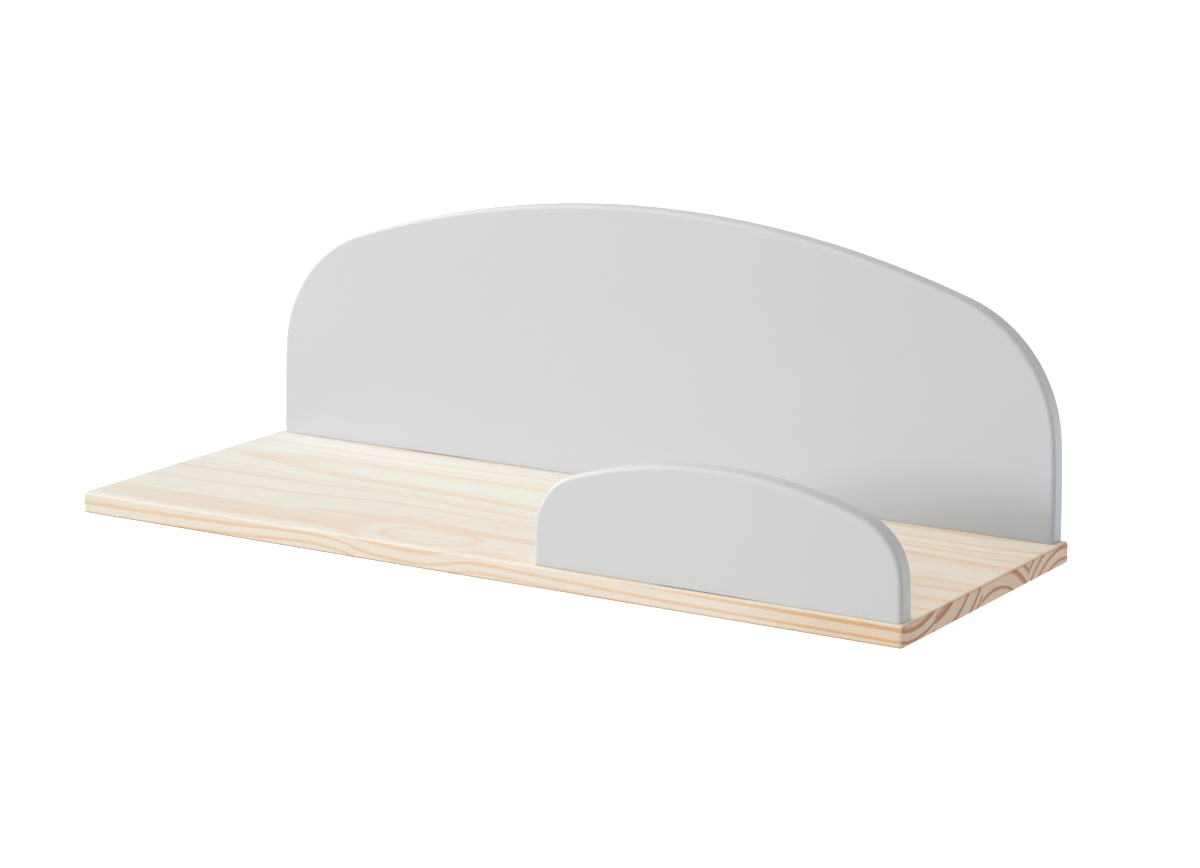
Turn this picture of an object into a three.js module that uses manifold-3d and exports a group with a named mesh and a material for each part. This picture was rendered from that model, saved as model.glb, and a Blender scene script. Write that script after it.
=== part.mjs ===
// Wall shelf: a pine board that carries a tall arched back panel and a low arched guard at its front right.
// Millimetres, +X to the right, +Y into the wall, +Z up.
// The origin is on the wall, midway between the two keyhole hangers and level with the seats of the wall screws.

import * as THREE from "three";
import { mergeVertices } from "three/addons/utils/BufferGeometryUtils.js";
import Module from "manifold-3d";

const wasm = await Module();
wasm.setup();

// Pine board
const boardLength = 650;
const boardDepth = 250;
const boardThickness = 15;
const boardEdgeRadius = 2;
const boardCornerRadius = 3;

// Sheet that both painted panels are cut from
const sheetThickness = 16;
const sheetEdgeRadius = 3;

// Back panel: a five-centred arch, flush with the back of the board
const backEndInset = 5;
const backHeight = 200;
const backCrownRadius = 780;
const backShoulderRadius = 102;
const backSideRadius = 1350;

// Front guard: the same kind of arch, near the front right corner of the board
const guardWidth = 269;
const guardHeight = 81;
const guardCrownRadius = 325;
const guardShoulderRadius = 42;
const guardSideRadius = 555;
const guardEdgeInset = 3;
const guardEndInset = 3;

// Fixings along the foot of a panel: screws and dowels by turns, with a screw at each end
const backFixingCount = 7;
const backFixingEndInset = 45;
const guardFixingCount = 5;
const guardFixingEndInset = 30;

// Countersunk screws, driven from under the board
const screwDiameter = 4;
const screwLength = 40;
const screwTipLength = 6;
const screwTipDiameter = 1;
const screwHeadDiameter = 8;
const screwHeadRim = 0.4;
const screwHeadSink = 0.3;
const screwDriverSpan = 4.4;
const screwDriverSlot = 1;
const screwDriverDepth = 1.6;

// Fluted beech dowels
const dowelDiameter = 8;
const dowelLength = 30;
const dowelInBoard = 10;
const dowelChamfer = 1;
const dowelFluteCount = 12;
const dowelFluteDepth = 0.35;

// Keyhole hangers, let into the back of the back panel
const hangerSpacing = 400;
const hangerHeight = 130;
const hangerPlateLength = 52;
const hangerPlateWidth = 18;
const hangerPlateThickness = 2;
const keyholeEntryDiameter = 9.5;
const keyholeSlotWidth = 4.8;
const keyholeTravel = 11;
const headPocketDepth = 8;
const headPocketMargin = 1;

// Small countersunk screws that hold a hanger plate
const hangerScrewSpacing = 40;
const hangerScrewDiameter = 3;
const hangerScrewLength = 12;
const hangerScrewTipLength = 3;
const hangerScrewTipDiameter = 0.8;
const hangerScrewHeadDiameter = 6;
const hangerScrewHeadRim = 0.3;
const hangerScrewHeadSink = 0.1;
const hangerScrewDriverSpan = 3.2;
const hangerScrewDriverSlot = 0.8;
const hangerScrewDriverDepth = 1.1;

// Clearances and facets
const fitGap = 0.3;
const holeEndGap = 1;
const cutMargin = 5;
const facetError = 0.05;
const edgeFacets = 4;
const mergeDistance = 1e-4;

// Sizes that follow from the ones above
const backWidth = boardLength - 2 * backEndInset;
const guardX = boardLength / 2 - guardEndInset - guardWidth / 2;
const guardBackY = guardEdgeInset + sheetThickness - boardDepth;
const sheetMiddleY = -sheetThickness / 2;

const backArch = {
  width: backWidth,
  height: backHeight,
  crownRadius: backCrownRadius,
  shoulderRadius: backShoulderRadius,
  sideRadius: backSideRadius,
};
const guardArch = {
  width: guardWidth,
  height: guardHeight,
  crownRadius: guardCrownRadius,
  shoulderRadius: guardShoulderRadius,
  sideRadius: guardSideRadius,
};
const panelScrew = {
  diameter: screwDiameter,
  length: screwLength,
  tipLength: screwTipLength,
  tipDiameter: screwTipDiameter,
  headDiameter: screwHeadDiameter,
  headRim: screwHeadRim,
  headSink: screwHeadSink,
  driverSpan: screwDriverSpan,
  driverSlot: screwDriverSlot,
  driverDepth: screwDriverDepth,
};
const hangerScrew = {
  diameter: hangerScrewDiameter,
  length: hangerScrewLength,
  tipLength: hangerScrewTipLength,
  tipDiameter: hangerScrewTipDiameter,
  headDiameter: hangerScrewHeadDiameter,
  headRim: hangerScrewHeadRim,
  headSink: hangerScrewHeadSink,
  driverSpan: hangerScrewDriverSpan,
  driverSlot: hangerScrewDriverSlot,
  driverDepth: hangerScrewDriverDepth,
};

const pine = { color: 0xecdcc0, roughness: 0.6, metalness: 0 };
const greyPaint = { color: 0xd8d9da, roughness: 0.45, metalness: 0 };
const beech = { color: 0xd9bd92, roughness: 0.7, metalness: 0 };
const zincSteel = { color: 0xb9bdc2, roughness: 0.35, metalness: 1 };

// Solids

function solidOf(geometry) {
  geometry.deleteAttribute("normal");
  geometry.deleteAttribute("uv");
  const merged = mergeVertices(geometry, mergeDistance);
  return new wasm.Manifold(
    new wasm.Mesh({
      numProp: 3,
      vertProperties: merged.attributes.position.array,
      triVerts: new Uint32Array(merged.index.array),
    }),
  );
}

function meshOf(name, solid, finish) {
  const faces = solid.getMesh();
  const geometry = new THREE.BufferGeometry();
  geometry.setAttribute("position", new THREE.BufferAttribute(faces.vertProperties, 3));
  geometry.setIndex(new THREE.BufferAttribute(faces.triVerts, 1));
  geometry.computeVertexNormals();
  const mesh = new THREE.Mesh(geometry, new THREE.MeshStandardMaterial({ ...finish, flatShading: true }));
  mesh.name = name;
  return mesh;
}

// The number of chords that keeps an arc within facetError of its circle
function chordCount(radius, angle) {
  const chordAngle = 2 * Math.acos(1 - facetError / radius);
  return Math.max(2, Math.ceil(Math.abs(angle) / chordAngle));
}

function arcPoints(centre, radius, from, to) {
  const count = chordCount(radius, to - from);
  const points = [];
  for (let i = 0; i <= count; i++) {
    const angle = from + ((to - from) * i) / count;
    points.push(new THREE.Vector2(centre.x + radius * Math.cos(angle), centre.y + radius * Math.sin(angle)));
  }
  return points;
}

// A flat outline given a thickness, from z = 0 up, with its edges rounded by a radius if one is given
function slab(points, thickness, edgeRadius = 0) {
  const geometry = new THREE.ExtrudeGeometry(new THREE.Shape(points), {
    depth: thickness - 2 * edgeRadius,
    bevelEnabled: edgeRadius > 0,
    bevelThickness: edgeRadius,
    bevelSize: edgeRadius,
    bevelOffset: -edgeRadius,
    bevelSegments: edgeFacets,
  });
  geometry.translate(0, 0, edgeRadius);
  return geometry;
}

// A turned piece about the Z axis, from a profile of [radius, z] pairs that starts and ends on the axis
function turned(profile) {
  const widest = Math.max(...profile.map(([radius]) => radius));
  const points = profile.map(([radius, z]) => new THREE.Vector2(radius, z));
  const geometry = new THREE.LatheGeometry(points, chordCount(widest, 2 * Math.PI));
  return geometry.rotateX(Math.PI / 2);
}

// Outlines

function rectangleOutline(width, height) {
  const x = width / 2;
  const y = height / 2;
  return [
    new THREE.Vector2(-x, -y),
    new THREE.Vector2(x, -y),
    new THREE.Vector2(x, y),
    new THREE.Vector2(-x, y),
  ];
}

function roundedOutline(width, height, radius) {
  const quarter = Math.PI / 2;
  const centres = rectangleOutline(width - 2 * radius, height - 2 * radius);
  return centres.flatMap((centre, i) => arcPoints(centre, radius, (i - 2) * quarter, (i - 1) * quarter));
}

// An upright slot with round ends whose end centres are at z = low and z = high
function slotOutline(radius, low, high) {
  return [
    ...arcPoints(new THREE.Vector2(0, high), radius, 0, Math.PI),
    ...arcPoints(new THREE.Vector2(0, low), radius, Math.PI, 2 * Math.PI),
  ];
}

// Where the shoulder arc of an arch has its centre: it touches the side arc and the crown arc from inside
function shoulderCentre(arch) {
  const side = new THREE.Vector2(arch.width / 2 - arch.sideRadius, 0);
  const crown = new THREE.Vector2(0, arch.height - arch.crownRadius);
  const fromSide = arch.sideRadius - arch.shoulderRadius;
  const fromCrown = arch.crownRadius - arch.shoulderRadius;
  const apart = crown.clone().sub(side);
  const distance = apart.length();
  const along = (fromSide ** 2 - fromCrown ** 2 + distance ** 2) / (2 * distance);
  const across = Math.sqrt(fromSide ** 2 - along ** 2);
  const direction = apart.normalize();
  const square = new THREE.Vector2(-direction.y, direction.x);
  return { side, crown, shoulder: side.clone().addScaledVector(direction, along).addScaledVector(square, across) };
}

// A five-centred arch: side arc, shoulder arc, crown arc, and the same again mirrored.
// Its sides run on below the foot, where they are trimmed.
function archOutline(arch) {
  const { side, crown, shoulder } = shoulderCentre(arch);
  const below = -Math.asin(cutMargin / arch.sideRadius);
  const shoulderStart = shoulder.clone().sub(side).angle();
  const shoulderEnd = shoulder.clone().sub(crown).angle();
  const rightHalf = [
    ...arcPoints(side, arch.sideRadius, below, shoulderStart),
    ...arcPoints(shoulder, arch.shoulderRadius, shoulderStart, shoulderEnd).slice(1),
    ...arcPoints(crown, arch.crownRadius, shoulderEnd, Math.PI / 2).slice(1),
  ];
  const leftHalf = rightHalf.slice(0, -1).map((point) => new THREE.Vector2(-point.x, point.y));
  return [...rightHalf, ...leftHalf.reverse()];
}

// Fixings

// Places along a foot, from -X to +X
function fixingPlaces(width, endInset, count) {
  const pitch = (width - 2 * endInset) / (count - 1);
  return Array.from({ length: count }, (_, i) => endInset + i * pitch - width / 2);
}

const isScrewPlace = (_, i) => i % 2 === 0;
const isDowelPlace = (_, i) => i % 2 === 1;

// A countersunk screw that points up, with the outside of its head at z = 0
function screwSolid(screw) {
  const radius = screw.diameter / 2;
  const headRadius = screw.headDiameter / 2;
  const neck = screw.headRim + headRadius - radius;
  const body = solidOf(
    turned([
      [0, 0],
      [headRadius, 0],
      [headRadius, screw.headRim],
      [radius, neck],
      [radius, screw.length - screw.tipLength],
      [screw.tipDiameter / 2, screw.length],
      [0, screw.length],
    ]),
  );
  const bar = () => new THREE.BoxGeometry(screw.driverSpan, screw.driverSlot, 2 * screw.driverDepth);
  const cross = solidOf(bar()).add(solidOf(bar().rotateZ(Math.PI / 2)));
  return body.subtract(cross);
}

// The hole for that screw: the same profile with clearance all round, open below its head
function screwHole(screw) {
  const radius = screw.diameter / 2 + fitGap;
  const headRadius = screw.headDiameter / 2 + fitGap;
  return turned([
    [0, -cutMargin],
    [headRadius, -cutMargin],
    [headRadius, screw.headRim],
    [radius, screw.headRim + headRadius - radius],
    [radius, screw.length + holeEndGap],
    [0, screw.length + holeEndGap],
  ]);
}

// A fluted dowel that points up, with chamfered ends
function dowelSolid() {
  const radius = dowelDiameter / 2;
  const flutePoints = [];
  for (let i = 0; i < dowelFluteCount; i++) {
    const start = (2 * Math.PI * i) / dowelFluteCount;
    const third = (2 * Math.PI) / dowelFluteCount / 3;
    for (const [turn, reach] of [[0, radius], [third, radius], [2 * third, radius - dowelFluteDepth]]) {
      flutePoints.push(new THREE.Vector2(reach * Math.cos(start + turn), reach * Math.sin(start + turn)));
    }
  }
  const envelope = turned([
    [0, 0],
    [radius - dowelChamfer, 0],
    [radius, dowelChamfer],
    [radius, dowelLength - dowelChamfer],
    [radius - dowelChamfer, dowelLength],
    [0, dowelLength],
  ]);
  return solidOf(slab(flutePoints, dowelLength)).intersect(solidOf(envelope));
}

function dowelHole() {
  const radius = dowelDiameter / 2 + fitGap;
  return turned([
    [0, -fitGap],
    [radius, -fitGap],
    [radius, dowelLength + holeEndGap],
    [0, dowelLength + holeEndGap],
  ]);
}

// The screws and dowels under one panel, with the origin at the foot of the panel's back face
function footFixings(name, places) {
  const group = new THREE.Group();
  places.filter(isScrewPlace).forEach((x, i) => {
    const screw = meshOf(`${name}_screw_${i + 1}`, screwSolid(panelScrew), zincSteel);
    screw.position.set(x, sheetMiddleY, screwHeadSink - boardThickness);
    group.add(screw);
  });
  places.filter(isDowelPlace).forEach((x, i) => {
    const dowel = meshOf(`${name}_dowel_${i + 1}`, dowelSolid(), beech);
    dowel.position.set(x, sheetMiddleY, -dowelInBoard);
    group.add(dowel);
  });
  return group;
}

// The holes for those fixings, to be cut from the board and from the panel alike
function footHoles(places, x, y) {
  const screwHoles = places
    .filter(isScrewPlace)
    .map((place) => screwHole(panelScrew).translate(x + place, y + sheetMiddleY, screwHeadSink - boardThickness));
  const dowelHoles = places
    .filter(isDowelPlace)
    .map((place) => dowelHole().translate(x + place, y + sheetMiddleY, -dowelInBoard));
  return [...screwHoles, ...dowelHoles];
}

function cutAll(solid, cutters) {
  return cutters.reduce((left, cutter) => left.subtract(solidOf(cutter)), solid);
}

// Board: its top is at z = 0 and its back edge at y = 0

const backPlaces = fixingPlaces(backWidth, backFixingEndInset, backFixingCount);
const guardPlaces = fixingPlaces(guardWidth, guardFixingEndInset, guardFixingCount);

function boardSolid() {
  const outline = roundedOutline(boardLength, boardDepth, boardCornerRadius);
  const blank = slab(outline, boardThickness, boardEdgeRadius).translate(0, -boardDepth / 2, -boardThickness);
  return cutAll(solidOf(blank), [
    ...footHoles(backPlaces, 0, 0),
    ...footHoles(guardPlaces, guardX, guardBackY),
  ]);
}

// Panels: the foot is at z = 0 and the back face at y = 0

function archedPanel(arch, places) {
  const blank = slab(archOutline(arch), sheetThickness, sheetEdgeRadius).rotateX(Math.PI / 2);
  const floor = new THREE.BoxGeometry(arch.width + 2 * cutMargin, sheetThickness + 2 * cutMargin, 2 * cutMargin);
  floor.translate(0, sheetMiddleY, -cutMargin);
  return cutAll(solidOf(blank), [floor, ...footHoles(places, 0, 0)]);
}

// Hangers: the seat of the wall screw is at the origin, and the wall is at y = 0

const hangerPlateMiddle = -keyholeTravel / 2;
const hangerScrewHeights = {
  upper: hangerPlateMiddle + hangerScrewSpacing / 2,
  lower: hangerPlateMiddle - hangerScrewSpacing / 2,
};

function hangerPlateOutline(clearance) {
  const endOffset = (hangerPlateLength - hangerPlateWidth) / 2;
  const radius = hangerPlateWidth / 2 + clearance;
  return slotOutline(radius, hangerPlateMiddle - endOffset, hangerPlateMiddle + endOffset);
}

// A cutter of the given outline that starts cutMargin outside the wall face and goes in by the given depth
function cutFromWall(outline, depth) {
  return slab(outline, depth + cutMargin).rotateX(Math.PI / 2).translate(0, cutMargin, 0);
}

function hangerScrewHoles() {
  return Object.values(hangerScrewHeights).map((z) =>
    screwHole(hangerScrew).rotateX(Math.PI / 2).translate(0, -hangerScrewHeadSink, z),
  );
}

// Keyhole: the head of the wall screw enters low down, then its shank rides up the slot
function hangerPlateSolid() {
  const plate = slab(hangerPlateOutline(0), hangerPlateThickness).rotateX(Math.PI / 2);
  const through = hangerPlateThickness + cutMargin;
  const entry = cutFromWall(slotOutline(keyholeEntryDiameter / 2, -keyholeTravel, -keyholeTravel), through);
  const slot = cutFromWall(slotOutline(keyholeSlotWidth / 2, -keyholeTravel, 0), through);
  return cutAll(solidOf(plate), [entry, slot, ...hangerScrewHoles()]);
}

// What is cut from the panel for one hanger: the seat of the plate, the pocket for the screw head, the pilot holes
function hangerPockets() {
  const plateSeat = cutFromWall(hangerPlateOutline(fitGap), hangerPlateThickness);
  const pocketRadius = keyholeEntryDiameter / 2 + headPocketMargin;
  const pocketDepth = hangerPlateThickness + headPocketDepth;
  const headPocket = cutFromWall(slotOutline(pocketRadius, -keyholeTravel, 0), pocketDepth);
  return [plateSeat, headPocket, ...hangerScrewHoles()];
}

const hangerPlaces = { left: -hangerSpacing / 2, right: hangerSpacing / 2 };

function hanger(side, x) {
  const group = new THREE.Group();
  group.position.set(x, 0, hangerHeight);
  group.add(meshOf(`hanger_plate_${side}`, hangerPlateSolid(), zincSteel));
  for (const [place, z] of Object.entries(hangerScrewHeights)) {
    const screw = meshOf(`hanger_screw_${side}_${place}`, screwSolid(hangerScrew), zincSteel);
    screw.rotation.x = Math.PI / 2;
    screw.position.set(0, -hangerScrewHeadSink, z);
    group.add(screw);
  }
  return group;
}

function backPanelSolid() {
  const pockets = Object.values(hangerPlaces).flatMap((x) =>
    hangerPockets().map((pocket) => pocket.translate(x, 0, hangerHeight)),
  );
  return cutAll(archedPanel(backArch, backPlaces), pockets);
}

// Assembly

const back = new THREE.Group();
back.add(meshOf("back_panel", backPanelSolid(), greyPaint));
back.add(footFixings("back", backPlaces));
for (const [side, x] of Object.entries(hangerPlaces)) {
  back.add(hanger(side, x));
}

const guard = new THREE.Group();
guard.position.set(guardX, guardBackY, 0);
guard.add(meshOf("front_guard", archedPanel(guardArch, guardPlaces), greyPaint));
guard.add(footFixings("guard", guardPlaces));

const wallShelf = new THREE.Group();
wallShelf.position.z = -hangerHeight;
wallShelf.add(meshOf("shelf_board", boardSolid(), pine), back, guard);

const part = new THREE.Group();
part.add(wallShelf);

export default part;
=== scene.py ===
# A wall shelf: a pine board that carries a tall arched back panel and a low arched guard,
# both painted grey.
# Metres, +X to the right, +Y into the wall, +Z up, in the frame of the CAD part.

import math

import bmesh
import bpy
from mathutils import Euler, Matrix, Vector


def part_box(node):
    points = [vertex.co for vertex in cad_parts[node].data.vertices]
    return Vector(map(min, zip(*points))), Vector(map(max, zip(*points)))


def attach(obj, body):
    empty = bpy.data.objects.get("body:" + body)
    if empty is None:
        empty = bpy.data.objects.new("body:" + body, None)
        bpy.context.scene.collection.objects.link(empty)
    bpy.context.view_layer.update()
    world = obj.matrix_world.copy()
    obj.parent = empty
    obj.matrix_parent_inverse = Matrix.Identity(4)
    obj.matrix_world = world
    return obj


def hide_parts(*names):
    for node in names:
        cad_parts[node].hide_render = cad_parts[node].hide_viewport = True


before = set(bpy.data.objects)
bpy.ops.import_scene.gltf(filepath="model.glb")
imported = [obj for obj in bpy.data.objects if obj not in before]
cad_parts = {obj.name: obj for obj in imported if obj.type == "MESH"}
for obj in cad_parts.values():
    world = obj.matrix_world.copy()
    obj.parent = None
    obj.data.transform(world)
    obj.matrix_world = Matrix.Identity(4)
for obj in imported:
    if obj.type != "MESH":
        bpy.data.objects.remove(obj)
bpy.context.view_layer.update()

MM = 0.001
FULL_TURN = 2 * math.pi

# Pine board
BOARD_CORNER_RADIUS = 3 * MM
BOARD_EDGE_RADIUS = 2 * MM
BOARD_CORNER_STEPS = 6
BOARD_EDGE_STEPS = 5

# Painted panels: the three radii of each arch, and the rounding of the rims
BACK_ARCH = dict(crown=780 * MM, shoulder=102 * MM, side=1350 * MM)
GUARD_ARCH = dict(crown=325 * MM, shoulder=42 * MM, side=555 * MM)
SIDE_STEPS = 8
SHOULDER_STEPS = 20
CROWN_STEPS = 56
RIM_RADIUS = 3 * MM
RIM_STEPS = 6
FOOT_EASE = 0.4 * MM
FOOT_EASE_STEPS = 2
# Painted shade in the joint at each panel's foot: full up to the first height above it, gone at the
# second.
JOINT_SHADE_START = 0.3 * MM
JOINT_SHADE_END = 0.7 * MM
TRIM_MARGIN = 5 * MM

# The front of the back panel has painted light: a cooler grey than the guard, most of all low down, that
# cancels the warm light the board throws on it. The depths between which its tone takes over, how high
# the coolest tone reaches, and how far a face turns to the wall where it fades out, from 0 to 1.
WALL_SIDE = (-180 * MM, -60 * MM)
AGAINST_BOUNCE_REACH = 110 * MM
FACES_WALL = (0.2, 0.8)
# Places along each joint, from the middle of the board, where it stands a little open and its painted
# shade is darker: start, full, fall and end.
BACK_JOINT_GAP_SHADE = (-215 * MM, -190 * MM, -160 * MM, -135 * MM)
GUARD_JOINT_GAP_SHADE = (140 * MM, 155 * MM, 195 * MM, 235 * MM)

# Countersunk screws: the ones under the board, and the small ones in the hanger plates
PANEL_SCREW = dict(
    length=40 * MM,
    thread=4 * MM,
    core=2.9 * MM,
    pitch=1.8 * MM,
    shank=12 * MM,
    tip=6 * MM,
    point=1 * MM,
    head=8 * MM,
    rim=0.4 * MM,
    driver_span=4.4 * MM,
    driver_slot=1 * MM,
    driver_depth=1.6 * MM,
)
PLATE_SCREW = dict(
    length=12 * MM,
    thread=3 * MM,
    core=2.1 * MM,
    pitch=1.35 * MM,
    shank=2.5 * MM,
    tip=3 * MM,
    point=0.8 * MM,
    head=6 * MM,
    rim=0.3 * MM,
    driver_span=3.2 * MM,
    driver_slot=0.8 * MM,
    driver_depth=1.1 * MM,
)
SCREW_STEPS = 40
HOLE_STEPS = 36
THREAD_STEPS = 24
THREAD_CREST = 0.1 * MM
THREAD_ROOT_SINK = 0.15 * MM
THREAD_WIDTH = 0.6
SHANK_UNDERSIZE = 0.15 * MM
SHANK_END_TAPER = 0.4 * MM
TIP_POINT = 0.2 * MM
THREAD_ROOM = 0.05 * MM
DRIVER_TAPER = 0.45

# Fluted dowels
DOWEL_DIAMETER = 8 * MM
DOWEL_CHAMFER = 1 * MM
FLUTE_COUNT = 12
FLUTE_DEPTH = 0.35 * MM
FLUTE_STEPS = 4

# Keyhole plates, let into the back of the back panel
PLATE_EDGE = 0.2 * MM
PLATE_EDGE_STEPS = 2
PLATE_STEPS = 24
ENTRY_DIAMETER = 9.5 * MM
SLOT_WIDTH = 4.8 * MM
SLOT_TRAVEL = 11 * MM
HEAD_POCKET_DEPTH = 8 * MM
HEAD_POCKET_MARGIN = 1 * MM

# Camera, floor, lamps and background
CAMERA_PLACE = (1.25438, -2.13370, 0.46559)
CAMERA_TURN = math.radians(31.378)
CAMERA_DIP = math.radians(12.783)
CAMERA_ROLL = math.radians(0.293)
CAMERA_LENS = 105.67
CAMERA_SENSOR = 36
CAMERA_REACH = 200
FLOOR_DROP = 1.25
FLOOR_SIZE = 60
FLOOR_ROUGHNESS = 0.9
LAMP_AIM = (0, -0.12, -0.05)
LAMP_DISTANCE = 2.6
# Each softbox by its turn to the right of straight ahead and its height, in degrees,
# its width in metres and its power in watts.
SOFTBOXES = dict(
    left=(-90, 25, 1.1, 36),
    front_left=(-35, 12, 0.5, 11),
    front=(-15, 12, 0.5, 16.2),
    front_right=(25, 30, 1.1, 7.5),
    overhead=(0, 88, 1.1, 12.3),
    behind_right=(150, -8, 1.1, 10),
    behind=(180, -5, 1.1, 22),
)
AMBIENT_LEVEL = 0.31
BACKGROUND_LEVEL = 1

# Clearances
FIT_GAP = 0.3 * MM
HOLE_END_GAP = 1 * MM
CUT_MARGIN = 5 * MM
WELD_DISTANCE = 0.001 * MM
NEAR_ENOUGH = 0.01 * MM
SMOOTH_ANGLE = math.radians(30)


# Modelling

def select_only(piece):
    """Select one piece, or nothing, in object mode."""
    if bpy.context.mode != "OBJECT":
        bpy.ops.object.mode_set(mode="OBJECT")
    bpy.ops.object.select_all(action="DESELECT")
    if piece:
        piece.select_set(True)
        bpy.context.view_layer.objects.active = piece


def open_piece(piece):
    """Start to edit a piece, with nothing of it selected."""
    select_only(piece)
    bpy.ops.object.mode_set(mode="EDIT")
    bpy.ops.mesh.select_all(action="DESELECT")


def select_everything():
    bpy.ops.mesh.select_all(action="SELECT")


def close_piece():
    bpy.ops.object.mode_set(mode="OBJECT")


def pick(piece, kind, test):
    """Select the vertices or edges of the open piece that pass the test."""
    bpy.ops.mesh.select_mode(type=kind)
    bpy.ops.mesh.select_all(action="DESELECT")
    mesh = bmesh.from_edit_mesh(piece.data)
    parts = dict(VERT=mesh.verts, EDGE=mesh.edges)[kind]
    for part in parts:
        if test(part):
            part.select_set(True)
    mesh.select_flush_mode()
    bmesh.update_edit_mesh(piece.data)


def near(value, target):
    return abs(value - target) < NEAR_ENOUGH


def is_level(edge):
    return near(edge.verts[0].co.z, edge.verts[1].co.z)


def round_edges(piece, test, radius, steps=1):
    """Round the edges of the open piece that pass the test. One step is a chamfer."""
    pick(piece, "EDGE", test)
    bpy.ops.mesh.bevel(offset=radius, segments=steps, affect="EDGES")


def weld(piece):
    """Merge what lies on the same spot and turn every face outwards."""
    open_piece(piece)
    select_everything()
    bpy.ops.mesh.remove_doubles(threshold=WELD_DISTANCE)
    bpy.ops.mesh.normals_make_consistent(inside=False)
    close_piece()


def just_added(name):
    """The primitive added last, with its place and size in its mesh."""
    piece = bpy.context.object
    piece.name = name
    bpy.ops.object.transform_apply(location=True, scale=True)
    return piece


def start_point(name, place):
    """A piece that is one vertex, left open for extrudes and spins."""
    select_only(None)
    bpy.ops.mesh.primitive_plane_add(size=MM, location=place)
    piece = just_added(name)
    bpy.ops.object.mode_set(mode="EDIT")
    bpy.ops.mesh.select_mode(type="VERT")
    select_everything()
    bpy.ops.mesh.merge(type="CENTER")
    return piece


def extrude(offset):
    bpy.ops.mesh.extrude_region_move(TRANSFORM_OT_translate={"value": offset})


def arc(centre, angle, steps):
    """Spin the end of an outline about a centre, anticlockwise as seen from the front."""
    bpy.ops.mesh.spin(steps=steps, angle=angle, center=centre, axis=(0, 1, 0))


def fill_and_thicken(piece, thickness):
    """Close an outline that stands in the XZ plane, and give it a thickness along Y."""
    select_everything()
    bpy.ops.mesh.remove_doubles(threshold=WELD_DISTANCE)
    select_everything()
    bpy.ops.mesh.edge_face_add()
    extrude((0, thickness, 0))
    close_piece()
    weld(piece)


def turned(name, profile, steps):
    """A turned piece about the Z axis, from a profile of (radius, height) pairs from axis to axis."""
    radius, height = profile[0]
    piece = start_point(name, (radius, 0, height))
    for next_radius, next_height in profile[1:]:
        extrude((next_radius - radius, 0, next_height - height))
        radius, height = next_radius, next_height
    select_everything()
    bpy.ops.mesh.spin(steps=steps, angle=FULL_TURN, center=(0, 0, 0), axis=(0, 0, 1))
    close_piece()
    weld(piece)
    return piece


def upright_slot(name, x, radius, heights, front, back):
    """A block with round ends, from the lower to the upper of two heights, between two depths."""
    low, high = heights
    piece = start_point(name, (x + radius, front, high))
    arc((x, front, high), math.pi, PLATE_STEPS)
    if high > low:
        extrude((0, 0, low - high))
    arc((x, front, low), math.pi, PLATE_STEPS)
    if high > low:
        extrude((0, 0, high - low))
    fill_and_thicken(piece, back - front)
    return piece


def move(piece, place):
    """Move a piece by an offset that ends up in its mesh."""
    select_only(piece)
    piece.location = place
    bpy.ops.object.transform_apply(location=True)


def tip_forward(piece):
    """Turn a piece that points up so that it points to the front."""
    open_piece(piece)
    select_everything()
    bpy.ops.transform.rotate(value=-math.pi / 2, orient_axis="X", center_override=(0, 0, 0))
    close_piece()


def copy_of(piece, name):
    """A copy with its own mesh."""
    select_only(piece)
    bpy.ops.object.duplicate(linked=False)
    twin = bpy.context.object
    twin.name = name
    return twin


def combine(piece, tool, operation):
    """Cut, join or intersect a piece with a tool, and take the tool away."""
    select_only(piece)
    change = piece.modifiers.new("shape", "BOOLEAN")
    change.operation = operation
    change.solver = "EXACT"
    change.object = tool
    bpy.ops.object.modifier_apply(modifier=change.name)
    bpy.data.objects.remove(tool)


def cut_at(piece, tool, place):
    """Move a tool to its place, and cut its shape away from a piece."""
    move(tool, place)
    combine(piece, tool, "DIFFERENCE")


def smooth(piece):
    """Shade round faces smoothly, keep creases sharp, and let wide flat faces lead."""
    select_only(piece)
    bpy.ops.object.shade_smooth_by_angle(angle=SMOOTH_ANGLE)
    weighted = piece.modifiers.new("flat faces lead", "WEIGHTED_NORMAL")
    weighted.keep_sharp = True
    bpy.ops.object.modifier_apply(modifier=weighted.name)


# Fixings

def middle(node):
    low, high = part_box(node)
    return (low + high) / 2


def base_of(node):
    """The point in the middle of the underside of a CAD node's box."""
    centre = middle(node)
    centre.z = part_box(node)[0].z
    return centre


def back_of(node):
    """The point in the middle of the wall side of a CAD node's box."""
    centre = middle(node)
    centre.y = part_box(node)[1].y
    return centre


def screw_hole(screw):
    """What a countersunk screw takes away, with its clearance, pointing up from height 0."""
    radius = screw["thread"] / 2 + FIT_GAP
    head_radius = screw["head"] / 2 + FIT_GAP
    profile = [
        (0, -CUT_MARGIN),
        (head_radius, -CUT_MARGIN),
        (head_radius, screw["rim"]),
        (radius, screw["rim"] + head_radius - radius),
        (radius, screw["length"] + HOLE_END_GAP),
        (0, screw["length"] + HOLE_END_GAP),
    ]
    return turned("hole", profile, HOLE_STEPS)


def thread_profile(screw):
    """The section of a thread, a turn before its start, and sunk a little into the core."""
    root = screw["core"] / 2 - THREAD_ROOT_SINK
    reach = screw["thread"] / 2 - root
    rise = (THREAD_WIDTH * screw["pitch"] - THREAD_CREST) / 2
    start = screw["shank"] - screw["pitch"] - THREAD_WIDTH * screw["pitch"] / 2
    profile = start_point("thread_ridge", (root, 0, start))
    extrude((reach, 0, rise))
    extrude((0, 0, THREAD_CREST))
    extrude((-reach, 0, rise))
    select_everything()
    bpy.ops.mesh.edge_face_add()
    close_piece()
    return profile


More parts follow.
